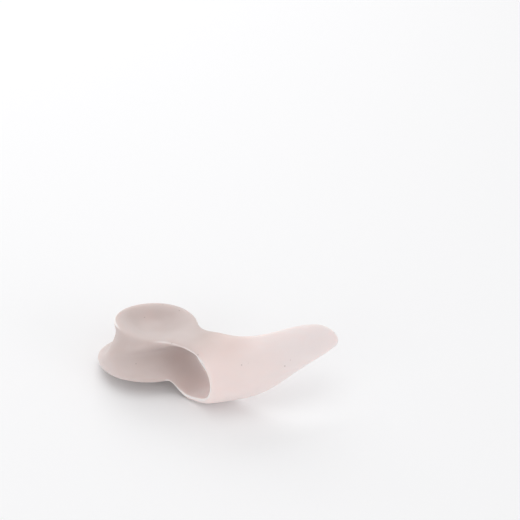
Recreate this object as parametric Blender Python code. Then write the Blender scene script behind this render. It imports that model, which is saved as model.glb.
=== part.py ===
"""Gel bunion sleeve: a toe spreader, a toe loop and a bunion shield, moulded in one piece.

+X runs from the loop towards the shield's tip, +Y from the loop towards the spreader, +Z up.
The sleeve stands as it does by itself, on the loop and the spreader's lower lip, rolled a little
towards the lip from how it is worn. The origin lies on that surface, in the middle of the loop's seat.

The soft gel is one moulding, so it is one object. Its surface is a cage of quads that one round of
subdivision makes smooth. Rings of the cage climb the spreader, and sections of the band go round the
toe hole, each from the band's front edge to its back edge, which widens into the shield.
"""

import math
from collections import namedtuple

import bmesh
import bpy
from mathutils import Matrix, Vector

MM = 0.001

# The toe hole and the wall round it
TOE_HOLE_WIDTH = 21.6 * MM
TOE_HOLE_HEIGHT = 16.4 * MM
LOOP_WALL = 2.2 * MM
LOOP_LENGTH = 11.0 * MM

# The shield, whose reach is from the loop's front edge to the tip
SHIELD_REACH = 48.0 * MM
SHIELD_WALL = 3.3 * MM
EDGE_WALL = 1.2 * MM
RIM_WIDTH = 1.3 * MM

# The spreader beside the toe hole. Its top is level with the loop's.
# A lip's lead sets it forwards, away from the shield, and its shift sets it away from the toe hole.
SPREADER_HEIGHT = 15.1 * MM
SPREADER_SETBACK = 2.0 * MM
WAIST_LENGTH = 26.0 * MM
WAIST_WIDTH = 9.0 * MM
UPPER_LIP_LENGTH = 27.2 * MM
UPPER_LIP_WIDTH = 26.5 * MM
UPPER_LIP_LEAD = 0.4 * MM
UPPER_LIP_SHIFT = 2.0 * MM
UPPER_LIP_TILT = 5.5
LOWER_LIP_LENGTH = 32.4 * MM
LOWER_LIP_WIDTH = 28.5 * MM
LOWER_LIP_LEAD = 3.4 * MM
LOWER_LIP_SHIFT = 3.0 * MM
LOWER_LIP_TILT = 5.0
DISH_DEPTH = 3.4 * MM

# How round the spreader's corners away from the toe hole are: 1 is an oval, less makes them squarer
FAR_CORNER = 0.88

# How far the gel spreads where it bears on a surface
SEAT_DEPTH = 0.4 * MM

SPREADER_SIDES = 36
BAND_SECTIONS = 21
SUBDIVISIONS = 1

GEL_COLOUR = (0.78, 0.69, 0.66, 1.0)
GEL_ROUGHNESS = 0.45

# The spreader's wall from bottom to top. rise is a share of its height. The others are how far a
# ring has gone from the waist's size and place to the lower lip's or the upper lip's.
Wall = namedtuple("Wall", "rise lower_length lower_width upper_length upper_width")
WALL = (
    Wall(0.00, 0.95, 0.94, 0.00, 0.00),
    Wall(0.11, 1.00, 1.00, 0.00, 0.00),
    Wall(0.23, 1.00, 0.86, 0.00, 0.00),
    Wall(0.34, 0.98, 0.42, 0.00, 0.00),
    Wall(0.46, 0.92, 0.09, 0.00, 0.02),
    Wall(0.59, 0.80, 0.00, 0.00, 0.06),
    Wall(0.70, 0.54, 0.00, 0.00, 0.26),
    Wall(0.81, 0.08, 0.00, 0.10, 0.66),
    Wall(0.92, 0.00, 0.00, 1.00, 1.00),
    Wall(1.00, 0.00, 0.00, 0.96, 0.95),
)

# The band leaves the spreader between these rows of WALL and the next ones
JOIN_ROWS = (1, 7)

# The dish in each end of the spreader, from its lip to its middle. sink is a share of the dish's depth
# and reach a share of the lip's half length and half width. shift is a share of the lip's half width,
# away from the toe hole, so that the rim is broad beside it.
Dish = namedtuple("Dish", "sink reach shift")
LIP = Dish(0.00, 1.00, 0.00)
DISH = (
    Dish(0.04, 0.84, 0.03),
    Dish(0.30, 0.66, 0.08),
    Dish(0.84, 0.45, 0.13),
    Dish(1.00, 0.22, 0.15),
)

# The inside of the band: the toe hole, and behind it the shield's hollow, each part of an oval.
# along is a share of the shield's reach behind the loop's front edge. side is how far the hollow's side
# stands out past the toe hole's, and half_width is half the oval, as shares of the toe hole's width.
# half_height is half the same oval, as a share of the toe hole's height.
Hollow = namedtuple("Hollow", "along side half_width half_height")
HOLLOW = (
    Hollow(-0.25, 0.00, 0.50, 0.50),
    Hollow(0.00, 0.00, 0.50, 0.50),
    Hollow(0.25, 0.09, 0.53, 0.54),
    Hollow(0.50, 0.14, 0.59, 0.65),
    Hollow(0.75, 0.20, 0.64, 0.76),
    Hollow(1.00, 0.19, 0.64, 0.80),
    Hollow(1.25, 0.11, 0.64, 0.80),
)

# The outline of the band, from the top of the spreader round the toe hole to its underside.
# Turns are degrees round the hole from its side across from the spreader, positive over the top. front is
# a share of the loop's length from its front edge, and back goes from 0 at its back edge to 1 at the tip.
Outline = namedtuple("Outline", "front_turn front back_turn back")
OUTLINE = (
    Outline(84, -0.05, 112, 0.03),
    Outline(74, 0.02, 97, 0.06),
    Outline(63, 0.06, 77, 0.15),
    Outline(51, 0.08, 64, 0.35),
    Outline(39, 0.09, 61, 0.62),
    Outline(26, 0.10, 52.5, 0.86),
    Outline(12, 0.11, 33, 0.96),
    Outline(-2, 0.11, 19, 0.96),
    Outline(-16, 0.10, 14, 0.78),
    Outline(-30, 0.10, 3, 0.56),
    Outline(-43, 0.10, -23, 0.35),
    Outline(-56, 0.08, -48, 0.20),
    Outline(-69, 0.03, -71, 0.09),
    Outline(-82, -0.05, -91, 0.03),
    Outline(-95, -0.17, -113, -0.01),
)

# The points across the band, from its front edge to its back edge. share is a share of the way and
# rims a number of rim widths more. edge is 1 where the wall is the edge's, and swell 1 where it is fullest.
Across = namedtuple("Across", "share rims edge swell")
ACROSS = (
    Across(0.00, 0, 1, 0),
    Across(0.00, 1, 0, 0),
    Across(0.30, 0, 0, 1),
    Across(0.54, 0, 0, 1),
    Across(0.78, 0, 0, 1),
    Across(1.00, -1, 0, 0),
    Across(1.00, 0, 1, 0),
)


def curve_point(rows, place):
    """A table's values at a place counted in rows, along a smooth curve through its rows."""
    index = min(max(int(place), 0), len(rows) - 2)
    t = place - index
    near = [rows[min(max(index + step, 0), len(rows) - 1)] for step in (-1, 0, 1, 2)]
    pulls = (
        (-t + 2 * t**2 - t**3) / 2,
        (2 - 5 * t**2 + 3 * t**3) / 2,
        (t + 4 * t**2 - 3 * t**3) / 2,
        (t**3 - t**2) / 2,
    )
    return type(rows[0])(*(sum(p * v for p, v in zip(pulls, column)) for column in zip(*near)))


def hollow_at(along):
    """The oval inside the band at a share of the shield's reach."""
    step = HOLLOW[1].along - HOLLOW[0].along
    place = (along - HOLLOW[0].along) / step
    return curve_point(HOLLOW, min(max(place, 0.0), len(HOLLOW) - 1.0))


def front_edge():
    return -LOOP_LENGTH / 2


def spreader_ring(row, dish=LIP):
    """The points of one ring of the spreader. A row of WALL sets it, and a row of DISH draws it in."""
    lower_length = (LOWER_LIP_LENGTH - WAIST_LENGTH) * row.lower_length
    upper_length = (UPPER_LIP_LENGTH - WAIST_LENGTH) * row.upper_length
    lower_width = (LOWER_LIP_WIDTH - WAIST_WIDTH) * row.lower_width
    upper_width = (UPPER_LIP_WIDTH - WAIST_WIDTH) * row.upper_width
    half_length = (WAIST_LENGTH + lower_length + upper_length) / 2
    half_width = (WAIST_WIDTH + lower_width + upper_width) / 2
    middle_x = front_edge() - SPREADER_SETBACK
    middle_x -= LOWER_LIP_LEAD * row.lower_length + UPPER_LIP_LEAD * row.upper_length
    middle_y = (TOE_HOLE_WIDTH + WAIST_WIDTH) / 2
    middle_y += LOWER_LIP_SHIFT * row.lower_width + UPPER_LIP_SHIFT * row.upper_width
    middle_y += half_width * dish.shift
    slope = math.tan(math.radians(LOWER_LIP_TILT)) * row.lower_length
    slope += math.tan(math.radians(UPPER_LIP_TILT)) * row.upper_width
    top = TOE_HOLE_HEIGHT / 2 + LOOP_WALL
    level = top - SPREADER_HEIGHT * (1 - row.rise) - math.copysign(DISH_DEPTH * dish.sink, row.rise - 0.5)
    points = []
    for index in range(SPREADER_SIDES):
        angle = math.tau * index / SPREADER_SIDES
        x = half_length * dish.reach * math.cos(angle)
        y = half_width * dish.reach * math.sin(angle)
        if y > 0:
            y *= math.sin(angle) ** (FAR_CORNER - 1)
        points.append(Vector((middle_x + x, middle_y + y, level - slope * x)))
    return points


def band_point(behind, turn, lift):
    """A point over the hollow, at a distance behind the loop's front edge."""
    hollow = hollow_at(behind / SHIELD_REACH)
    half_width = TOE_HOLE_WIDTH * hollow.half_width
    half_tall = TOE_HOLE_HEIGHT * hollow.half_height
    side = -TOE_HOLE_WIDTH * (0.5 + hollow.side)
    angle = math.radians(turn)
    y = side + half_width - (half_width + lift) * math.cos(angle)
    return Vector((front_edge() + behind, y, (half_tall + lift) * math.sin(angle)))


def band_section(place):
    """One section of the band: its outer points from front to back, then its inner ones."""
    row = curve_point(OUTLINE, place * (len(OUTLINE) - 1))
    shield = SHIELD_REACH - LOOP_LENGTH
    front = LOOP_LENGTH * row.front
    span = LOOP_LENGTH + shield * row.back - front
    fullest = (SHIELD_WALL - LOOP_WALL) * min(max(row.back, 0.0), 1.0)
    outer = []
    inner = []
    for point in ACROSS:
        share = point.share + point.rims * RIM_WIDTH / span
        turn = row.front_turn + (row.back_turn - row.front_turn) * share
        wall = LOOP_WALL + (EDGE_WALL - LOOP_WALL) * point.edge + fullest * point.swell
        outer.append(band_point(front + span * share, turn, wall))
        inner.append(band_point(front + span * share, turn, 0.0))
    return outer, inner


def add_points(mesh, points):
    return [mesh.verts.new(point) for point in points]


def join_loops(mesh, first, second):
    """Quads between two closed rows of points, one to one."""
    for index in range(len(first)):
        after = (index + 1) % len(first)
        mesh.faces.new((first[index], first[after], second[after], second[index]))


def join_columns():
    """The spreader's columns where the band leaves it, from front to back."""
    start = round(SPREADER_SIDES * 0.75)
    return [(start + step) % SPREADER_SIDES for step in range(len(ACROSS))]


def build_spreader(mesh):
    """The spreader's rings and dishes. It returns its two openings, each as outer and inner points."""
    rings = [add_points(mesh, spreader_ring(row)) for row in WALL]
    columns = join_columns()
    for level, (lower, upper) in enumerate(zip(rings, rings[1:])):
        for index in range(SPREADER_SIDES):
            if level in JOIN_ROWS and index in columns[:-1]:
                continue
            after = (index + 1) % SPREADER_SIDES
            mesh.faces.new((lower[index], lower[after], upper[after], upper[index]))
    for lip, edge in ((WALL[0], rings[0]), (WALL[-1], rings[-1])):
        for row in DISH:
            ring = add_points(mesh, spreader_ring(lip, row))
            join_loops(mesh, edge, ring)
            edge = ring
        mesh.faces.new(edge)
    lower_row, upper_row = JOIN_ROWS
    upper_opening = [[rings[upper_row + step][index] for index in columns] for step in (1, 0)]
    lower_opening = [[rings[lower_row + step][index] for index in columns] for step in (0, 1)]
    return upper_opening, lower_opening


def build_band(mesh, start, end):
    """The band's sections, from the spreader's upper opening round the toe hole to its lower one."""
    sections = [start]
    for index in range(BAND_SECTIONS):
        outer, inner = band_section(index / (BAND_SECTIONS - 1))
        sections.append((add_points(mesh, outer), add_points(mesh, inner)))
    sections.append(end)
    for first, second in zip(sections, sections[1:]):
        join_loops(mesh, first[0] + first[1][::-1], second[0] + second[1][::-1])


def gel_material():
    material = bpy.data.materials.new("clear_silicone_gel")
    material.use_nodes = True
    shader = material.node_tree.nodes["Principled BSDF"]
    shader.inputs["Base Color"].default_value = GEL_COLOUR
    shader.inputs["Roughness"].default_value = GEL_ROUGHNESS
    return material


def smooth_object(name, cage):
    """An object holding the cage's surface after subdivision."""
    bmesh.ops.recalc_face_normals(cage, faces=cage.faces)
    mesh = bpy.data.meshes.new(name + "_cage")
    cage.to_mesh(mesh)
    cage.free()
    obj = bpy.data.objects.new(name, mesh)
    bpy.context.scene.collection.objects.link(obj)
    smooth = obj.modifiers.new("Smooth", "SUBSURF")
    smooth.levels = SUBDIVISIONS
    smooth.render_levels = SUBDIVISIONS
    graph = bpy.context.evaluated_depsgraph_get()
    obj.data = bpy.data.meshes.new_from_object(obj.evaluated_get(graph))
    obj.data.name = name
    obj.modifiers.clear()
    bpy.data.meshes.remove(mesh)
    return obj


def lowest(points):
    return min(point.z for point in points)


def resting_roll(points):
    """The turn about the toe hole that brings the loop and the spreader's lower lip down to one level."""
    loop = [point for point in points if point.y < 0]
    spreader = [point for point in points if point.y > TOE_HOLE_WIDTH / 2]
    low, high = -math.pi / 4, math.pi / 4
    for _ in range(40):
        middle = (low + high) / 2
        turn = Matrix.Rotation(middle, 3, "X")
        if lowest(turn @ point for point in loop) < lowest(turn @ point for point in spreader):
            high = middle
        else:
            low = middle
    return (low + high) / 2


def seat(mesh):
    """Rolls the sleeve onto its resting surface, flattens what bears on it and sets the origin there."""
    roll = resting_roll([vertex.co for vertex in mesh.vertices])
    mesh.transform(Matrix.Rotation(roll, 4, "X"))
    floor = lowest(vertex.co for vertex in mesh.vertices) + SEAT_DEPTH
    bearing = [vertex for vertex in mesh.vertices if vertex.co.z < floor]
    for vertex in bearing:
        vertex.co.z = floor
    loop_seat = [vertex.co for vertex in bearing if vertex.co.y < TOE_HOLE_WIDTH / 2]
    origin = sum(loop_seat, Vector()) / len(loop_seat)
    origin.z = floor
    mesh.transform(Matrix.Translation(-origin))
    return roll, origin


def main():
    for obj in list(bpy.data.objects):
        bpy.data.objects.remove(obj, do_unlink=True)
    cage = bmesh.new()
    upper_opening, lower_opening = build_spreader(cage)
    build_band(cage, upper_opening, lower_opening)
    sleeve = smooth_object("gel_sleeve", cage)
    placed = seat(sleeve.data)
    for face in sleeve.data.polygons:
        face.use_smooth = True
    sleeve.data.materials.append(gel_material())
    return placed


if __name__ == "__main__":
    main()
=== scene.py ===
"""The looks of the gel bunion sleeve: its fine surface, its gel, a pale floor, soft light and the camera.

Everything is in metres and in the frame's axes: +X from the loop towards the shield's tip, +Y towards the
spreader, +Z up. The sleeve is one moulding, so one piece stands for the frame's one solid.
"""

import math
from collections import namedtuple

import bmesh
import bpy
import numpy as np
from mathutils import Matrix, Vector, noise


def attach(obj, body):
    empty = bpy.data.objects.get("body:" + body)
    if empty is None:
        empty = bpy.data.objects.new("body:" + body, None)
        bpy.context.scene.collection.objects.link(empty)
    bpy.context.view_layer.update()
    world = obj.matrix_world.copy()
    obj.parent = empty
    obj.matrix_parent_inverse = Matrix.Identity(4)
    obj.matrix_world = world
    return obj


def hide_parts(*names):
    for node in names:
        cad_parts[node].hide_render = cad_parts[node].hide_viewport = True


MM = 0.001

# The surface. Its triangles join back into quads up to these angles, then it is made finer and smoother.
WELD = 0.002 * MM
JOIN_BEND = math.radians(60)
JOIN_SKEW = math.radians(90)
FINER = 2
SMOOTHING = 0.5
SMOOTHING_ROUNDS = 6

# The upper lip's side over the loop's hole is a fat soft roll. It grows from nothing over these spans:
# along X from the band's neck, along Y from the lip's far side and from the loop, and up from the waist.
ROLL_ROUNDS = 600
ROLL_FROM_NECK = (5.0 * MM, -4.0 * MM)
ROLL_FROM_FAR_SIDE = (28.0 * MM, 12.0 * MM)
ROLL_FROM_LOOP = (2.5 * MM, 8.0 * MM)
ROLL_FROM_WAIST = (12.0 * MM, 17.0 * MM)

# The long swells and short ripples of a soft casting, which grow from nothing just above the seat
SWELL_HEIGHT = 0.07 * MM
SWELL_LENGTH = 11.0 * MM
RIPPLE_HEIGHT = 0.018 * MM
RIPPLE_LENGTH = 3.2 * MM
SEAT_BLEND = 0.6 * MM

# Patches of colour on the gel. Three are painted shade: darker grey over the thick spreader, darker in
# the dish, and darker and warmer on the band's shoulder beside it. The fourth is the gel's own whiter tone
# at the shield's tip. A patch is full within near of its middle and gone beyond far, all in millimetres,
# and share is how much of it shows.
GEL_COLOUR = "#F1E3E0"
Tint = namedtuple("Tint", "middle near far share colour")
SHADE_AND_TINT_PATCHES = (
    # Painted shade: darker grey over the thick spreader
    Tint((-10.5, 17.5, 13.0), 15, 26, 1.00, "#D1C3BF"),
    # Painted shade: darker in the dish
    Tint((-3.0, 22.0, 14.0), 2, 10, 0.28, "#AD9994"),
    # Painted shade: darker and warmer on the band's shoulder beside the dish
    Tint((3.0, 1.5, 22.5), 4, 13, 0.32, "#C4A99D"),
    # The gel's own whiter tone at the shield's tip
    Tint((36.0, -12.0, 19.0), 8, 34, 1.00, "#EEE5E4"),
)

# Most of a noise texture's values lie in this span
NOISE_SPAN = (0.3, 0.7)

# Faint clouds in the gel
CLOUD_COLOUR = "#E6DBD9"
CLOUD_SIZE = 9.0 * MM
CLOUD_SHARE = 0.22

# A painted highlight on the rims, along the tightest outward bends. It shows from the first of these
# bends and is full at the second, and a bend is 1 over its radius in millimetres.
RIM_HIGHLIGHT_COLOUR = "#F8F2F1"
RIM_BEND = (0.80, 1.80)
RIM_HIGHLIGHT_SHARE = 0.85
RIM_BLUR_ROUNDS = 2

# Dark motes, full up to the first of these shares of their spacing and gone past the second
MOTE_COLOUR = "#9C8C88"
MOTE_SPACING = 4.5 * MM
MOTE_SPAN = (0.03, 0.07)
MOTE_SHARE = 0.55

# The frosting. Its real grain is under 0.1 mm, too fine to show, so it is drawn coarser.
FROST_GRAIN = 0.45 * MM
FROST_HEIGHT = 0.05 * MM
FROST_STRENGTH = 0.4
SATIN_ROUGHNESS = (0.40, 0.50)

# Light in the gel: how much it bends going in, how far it wanders, and each colour's share of that way
GEL_IOR = 1.41
WANDER = 1.4 * MM
WANDER_BY_COLOUR = (1.0, 0.88, 0.84)

# A Mix node's colour sockets go by number, because their names repeat
FIRST_COLOUR = 6
SECOND_COLOUR = 7
MIXED_COLOUR = 2

# The camera, which stands at the photograph's angle to the sleeve. Its angles are in degrees, and its lens
# and sensor in millimetres.
CAMERA_AIM = Vector((17.21, 5.91, 44.94)) * MM
CAMERA_DISTANCE = 700.0 * MM
CAMERA_AZIMUTH = -34.27
CAMERA_ELEVATION = 38.38
CAMERA_ROLL = 7.43
CAMERA_LENS = 154.8
SENSOR_WIDTH = 36.0
NEAREST_SEEN = 0.01
FARTHEST_SEEN = 10.0

# The floor
FLOOR_SIZE = 3.0
FLOOR_COLOUR = "#FAFAFB"
FLOOR_ROUGHNESS = 0.85

# The light: an even white sky and four softboxes, placed and sized in metres
SKY_COLOUR = "#FFFFFF"
SKY_STRENGTH = 0.66
LIGHT_AIM = Vector((0, 0, 10.0)) * MM
Light = namedtuple("Light", "name place width height watts")
LIGHTS = (
    Light("back_softbox", (0.08, 0.52, 0.36), 0.55, 0.35, 0.98),
    Light("overhead_softbox", (-0.05, 0.05, 0.60), 0.45, 0.45, 0.58),
    Light("right_softbox", (0.34, -0.55, 0.20), 0.50, 0.35, 0.60),
    Light("left_softbox", (-0.60, -0.20, 0.22), 0.50, 0.35, 0.50),
)


def linear(hex_colour):
    """An sRGB hex colour as linear red, green, blue and alpha."""
    shares = [int(hex_colour[i:i + 2], 16) / 255 for i in (1, 3, 5)]
    return [c / 12.92 if c <= 0.04045 else ((c + 0.055) / 1.055) ** 2.4 for c in shares] + [1.0]


def add_node(tree, kind, settings=None, inputs=None):
    """A node with its settings, and its inputs set to a value or linked to another node's output."""
    node = tree.nodes.new(kind)
    for name, value in (settings or {}).items():
        setattr(node, name, value)
    for name, value in (inputs or {}).items():
        if isinstance(value, bpy.types.NodeSocket):
            tree.links.new(value, node.inputs[name])
        else:
            node.inputs[name].default_value = value
    return node


def new_material(name):
    """An empty material, its node tree and its output."""
    material = bpy.data.materials.new(name)
    material.use_nodes = True
    tree = material.node_tree
    tree.nodes.clear()
    return material, tree, tree.nodes.new("ShaderNodeOutputMaterial")


def cast_silicone_gel():
    """Clear silicone gel, cast in a frosted mould.

    It is milky all through, so light wanders a millimetre or two inside it and softens every shade. Its
    colour carries painted shade, darker grey over the thick spreader and darker in the dish and on the
    band's shoulder beside it, and a painted highlight on its tightest rims. It is a little whiter at the
    shield's tip, with faint clouds and a few dark motes. The frosting leaves a satin surface with no sharp
    reflection.
    """
    material, tree, output = new_material("cast_silicone_gel")
    place = add_node(tree, "ShaderNodeTexCoord").outputs["Object"]

    body = linear(GEL_COLOUR)
    # Painted shade over the spreader, in the dish and on the band's shoulder, and the whiter shield tip
    for patch in SHADE_AND_TINT_PATCHES:
        away = add_node(tree, "ShaderNodeVectorMath", {"operation": "DISTANCE"}, {
            0: place, 1: Vector(patch.middle) * MM}).outputs["Value"]
        patch_share = add_node(tree, "ShaderNodeMapRange", {"interpolation_type": "SMOOTHSTEP"}, {
            "Value": away, "From Min": patch.near * MM, "From Max": patch.far * MM,
            "To Min": patch.share, "To Max": 0.0}).outputs["Result"]
        body = add_node(tree, "ShaderNodeMix", {"data_type": "RGBA"}, {
            "Factor": patch_share, FIRST_COLOUR: body, SECOND_COLOUR: linear(patch.colour)}).outputs[MIXED_COLOUR]

    cloud = add_node(tree, "ShaderNodeTexNoise", None, {
        "Vector": place, "Scale": 1 / CLOUD_SIZE, "Detail": 2.0, "Roughness": 0.5}).outputs["Fac"]
    cloudy = add_node(tree, "ShaderNodeMapRange", None, {
        "Value": cloud, "From Min": NOISE_SPAN[0], "From Max": NOISE_SPAN[1],
        "To Min": 0.0, "To Max": CLOUD_SHARE}).outputs["Result"]
    milky = add_node(tree, "ShaderNodeMix", {"data_type": "RGBA"}, {
        "Factor": cloudy, FIRST_COLOUR: body, SECOND_COLOUR: linear(CLOUD_COLOUR)}).outputs[MIXED_COLOUR]

    # A painted highlight along the tightest rims
    rim = add_node(tree, "ShaderNodeAttribute", {"attribute_name": "rim"}).outputs["Fac"]
    rim_highlight = add_node(tree, "ShaderNodeMapRange", {"interpolation_type": "SMOOTHSTEP"}, {
        "Value": rim, "From Min": RIM_BEND[0], "From Max": RIM_BEND[1],
        "To Min": 0.0, "To Max": RIM_HIGHLIGHT_SHARE}).outputs["Result"]
    highlighted = add_node(tree, "ShaderNodeMix", {"data_type": "RGBA"}, {
        "Factor": rim_highlight, FIRST_COLOUR: milky, SECOND_COLOUR: linear(RIM_HIGHLIGHT_COLOUR)}).outputs[MIXED_COLOUR]

    mote = add_node(tree, "ShaderNodeTexVoronoi", None, {
        "Vector": place, "Scale": 1 / MOTE_SPACING}).outputs["Distance"]
    speck = add_node(tree, "ShaderNodeMapRange", {"interpolation_type": "SMOOTHSTEP"}, {
        "Value": mote, "From Min": MOTE_SPAN[0], "From Max": MOTE_SPAN[1],
        "To Min": MOTE_SHARE, "To Max": 0.0}).outputs["Result"]
    colour = add_node(tree, "ShaderNodeMix", {"data_type": "RGBA"}, {
        "Factor": speck, FIRST_COLOUR: highlighted, SECOND_COLOUR: linear(MOTE_COLOUR)}).outputs[MIXED_COLOUR]

    frost = add_node(tree, "ShaderNodeTexNoise", None, {
        "Vector": place, "Scale": 1 / FROST_GRAIN, "Detail": 3.0, "Roughness": 0.6}).outputs["Fac"]
    relief = add_node(tree, "ShaderNodeBump", None, {
        "Height": frost, "Strength": FROST_STRENGTH, "Distance": FROST_HEIGHT}).outputs["Normal"]
    satin = add_node(tree, "ShaderNodeMapRange", None, {
        "Value": frost, "From Min": NOISE_SPAN[0], "From Max": NOISE_SPAN[1],
        "To Min": SATIN_ROUGHNESS[0], "To Max": SATIN_ROUGHNESS[1]}).outputs["Result"]

    shader = add_node(tree, "ShaderNodeBsdfPrincipled", {"subsurface_method": "RANDOM_WALK"}, {
        "Base Color": colour, "Roughness": satin, "IOR": GEL_IOR, "Normal": relief,
        "Subsurface Weight": 1.0, "Subsurface Radius": WANDER_BY_COLOUR, "Subsurface Scale": WANDER})
    tree.links.new(shader.outputs["BSDF"], output.inputs["Surface"])
    return material


def painted_board():
    """Smooth board painted matt white, which shows only the sleeve's soft shadow."""
    material, tree, output = new_material("painted_board")
    shader = add_node(tree, "ShaderNodeBsdfPrincipled", None, {
        "Base Color": linear(FLOOR_COLOUR), "Roughness": FLOOR_ROUGHNESS})
    tree.links.new(shader.outputs["BSDF"], output.inputs["Surface"])
    return material


def quad_copy(node, name):
    """A new object with the node's surface, its triangles joined back into quads."""
    cage = bmesh.new()
    cage.from_mesh(node.data)
    bmesh.ops.remove_doubles(cage, verts=cage.verts, dist=WELD)
    bmesh.ops.join_triangles(cage, faces=cage.faces, angle_face_threshold=JOIN_BEND,
                             angle_shape_threshold=JOIN_SKEW)
    mesh = bpy.data.meshes.new(name)
    cage.to_mesh(mesh)
    cage.free()
    obj = bpy.data.objects.new(name, mesh)
    bpy.context.scene.collection.objects.link(obj)
    return obj


def apply_modifiers(obj):
    """Turns the object's modifiers into its own mesh."""
    graph = bpy.context.evaluated_depsgraph_get()
    made = bpy.data.meshes.new_from_object(obj.evaluated_get(graph))
    old = obj.data
    obj.modifiers.clear()
    obj.data = made
    bpy.data.meshes.remove(old)


def ramp(values, span):
    """How far each value has gone from the span's start to its end, from 0 to 1 with soft ends."""
    share = np.clip((values - span[0]) / (span[1] - span[0]), 0, 1)
    return share * share * (3 - 2 * share)


def neighbour_count(first, second, points):
    """How many of the edges from first to second meet at each of so many points."""
    return np.bincount(first, minlength=points) + np.bincount(second, minlength=points)


def neighbour_sum(first, second, values):
    """Each point's sum of the values at the other ends of its edges."""
    return (np.bincount(first, values[second], len(values))
            + np.bincount(second, values[first], len(values)))


def roll_lip(mesh):
    """Rounds the upper lip over the loop's hole into a fat soft roll.

    Each round draws a point towards the middle of its neighbours, by half the way at most. The rounding
    goes with the square root of that share, so the share is a square and the roll grows evenly.
    """
    points = np.array([vertex.co for vertex in mesh.vertices])
    full = ramp(points[:, 0], ROLL_FROM_NECK) * ramp(points[:, 1], ROLL_FROM_FAR_SIDE)
    full *= ramp(points[:, 1], ROLL_FROM_LOOP) * ramp(points[:, 2], ROLL_FROM_WAIST)
    share = full * full / 2
    ends = np.array([edge.vertices for edge in mesh.edges])
    first, second = ends[share[ends].any(axis=1)].T
    count = np.maximum(neighbour_count(first, second, len(points)), 1)
    for _ in range(ROLL_ROUNDS):
        for axis in range(3):
            along = points[:, axis]
            points[:, axis] = along + share * (neighbour_sum(first, second, along) / count - along)
    mesh.vertices.foreach_set("co", points.ravel())
    mesh.update()


def mark_rims(mesh):
    """Stores each point's "rim": the tightest outward bend there, as 1 over its radius in millimetres."""
    points = np.array([vertex.co for vertex in mesh.vertices])
    normals = np.array([vertex.normal for vertex in mesh.vertices])
    first, second = np.array([edge.vertices for edge in mesh.edges]).T
    step = points[second] - points[first]
    bend = ((normals[second] - normals[first]) * step).sum(axis=1) / (step * step).sum(axis=1) * MM
    rim = np.zeros(len(points))
    np.maximum.at(rim, first, bend)
    np.maximum.at(rim, second, bend)
    count = neighbour_count(first, second, len(points)) + 1
    for _ in range(RIM_BLUR_ROUNDS):
        rim = (rim + neighbour_sum(first, second, rim)) / count
    mesh.attributes.new("rim", "FLOAT", "POINT").data.foreach_set("value", rim.astype(np.float32))


def mould_surface(mesh):
    """Gives the smooth surface the gentle swells and ripples of a soft casting. Its seat stays flat."""
    normals = [vertex.normal.copy() for vertex in mesh.vertices]
    for vertex, normal in zip(mesh.vertices, normals):
        rise = SWELL_HEIGHT * noise.noise(vertex.co / SWELL_LENGTH)
        rise += RIPPLE_HEIGHT * noise.noise(vertex.co / RIPPLE_LENGTH)
        free = min(max(vertex.co.z / SEAT_BLEND, 0.0), 1.0)
        vertex.co += normal * (rise * free * free * (3 - 2 * free))
        vertex.co.z = max(vertex.co.z, 0.0)


def make_sleeve(node):
    """The sleeve with a fine, slightly uneven surface on the frame's form."""
    sleeve = quad_copy(node, "gel_sleeve_skin")
    finer = sleeve.modifiers.new("finer", "SUBSURF")
    finer.levels = FINER
    even = sleeve.modifiers.new("even", "SMOOTH")
    even.factor = SMOOTHING
    even.iterations = SMOOTHING_ROUNDS
    apply_modifiers(sleeve)
    roll_lip(sleeve.data)
    mark_rims(sleeve.data)
    mould_surface(sleeve.data)
    sleeve.data.shade_smooth()
    sleeve.data.materials.append(cast_silicone_gel())
    return sleeve


def make_floor():
    """A square floor, which the sleeve lies on."""
    mesh = bpy.data.meshes.new("floor")
    half = FLOOR_SIZE / 2
    corners = [(-half, -half, 0), (half, -half, 0), (half, half, 0), (-half, half, 0)]
    mesh.from_pydata(corners, [], [(0, 1, 2, 3)])
    mesh.materials.append(painted_board())
    floor = bpy.data.objects.new("floor", mesh)
    bpy.context.scene.collection.objects.link(floor)
    return floor


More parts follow.
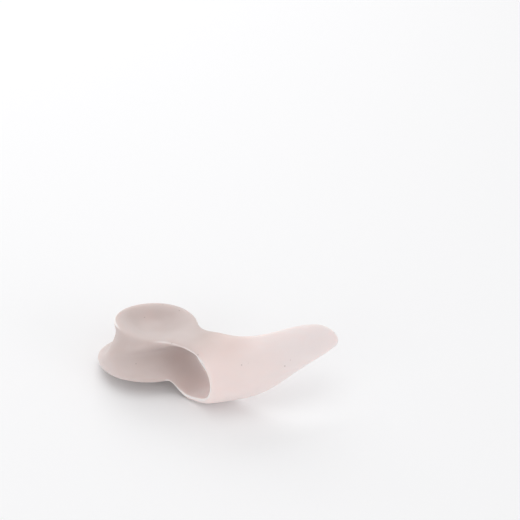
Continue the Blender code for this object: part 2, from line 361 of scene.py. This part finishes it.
def add_aimed(obj, place, target, roll=0.0):
    """Adds a camera or light at its place, aimed at the target and turned by roll degrees about its axis."""
    turn = (target - place).to_track_quat("-Z", "Y").to_matrix().to_4x4()
    obj.matrix_world = Matrix.Translation(place) @ turn @ Matrix.Rotation(math.radians(roll), 4, "Z")
    bpy.context.scene.collection.objects.link(obj)


def make_camera():
    """The camera, set by its distance, azimuth and elevation from the point it is aimed at."""
    data = bpy.data.cameras.new("camera")
    data.lens = CAMERA_LENS
    data.sensor_width = SENSOR_WIDTH
    data.clip_start = NEAREST_SEEN
    data.clip_end = FARTHEST_SEEN
    azimuth = math.radians(CAMERA_AZIMUTH)
    elevation = math.radians(CAMERA_ELEVATION)
    back = Vector((math.sin(azimuth) * math.cos(elevation), -math.cos(azimuth) * math.cos(elevation),
                   math.sin(elevation)))
    camera = bpy.data.objects.new("camera", data)
    add_aimed(camera, CAMERA_AIM + back * CAMERA_DISTANCE, CAMERA_AIM, CAMERA_ROLL)
    bpy.context.scene.camera = camera


def make_lights():
    """The softboxes and the sky, with colours shown as they are."""
    for light in LIGHTS:
        data = bpy.data.lights.new(light.name, "AREA")
        data.shape = "RECTANGLE"
        data.size = light.width
        data.size_y = light.height
        data.energy = light.watts
        add_aimed(bpy.data.objects.new(light.name, data), Vector(light.place), LIGHT_AIM)
    world = bpy.data.worlds.new("studio")
    world.use_nodes = True
    sky = world.node_tree.nodes["Background"]
    sky.inputs["Color"].default_value = linear(SKY_COLOUR)
    sky.inputs["Strength"].default_value = SKY_STRENGTH
    bpy.context.scene.world = world
    bpy.context.scene.view_settings.view_transform = "Standard"


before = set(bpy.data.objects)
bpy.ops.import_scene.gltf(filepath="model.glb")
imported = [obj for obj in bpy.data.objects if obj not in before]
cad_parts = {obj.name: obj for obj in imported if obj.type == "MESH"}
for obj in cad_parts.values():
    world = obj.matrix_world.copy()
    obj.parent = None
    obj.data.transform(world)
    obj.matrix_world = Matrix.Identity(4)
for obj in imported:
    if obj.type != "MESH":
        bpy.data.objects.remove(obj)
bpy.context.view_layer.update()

sleeve = make_sleeve(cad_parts["gel_sleeve"])
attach(sleeve, "root")
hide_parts("gel_sleeve")

make_floor()
make_lights()
make_camera()
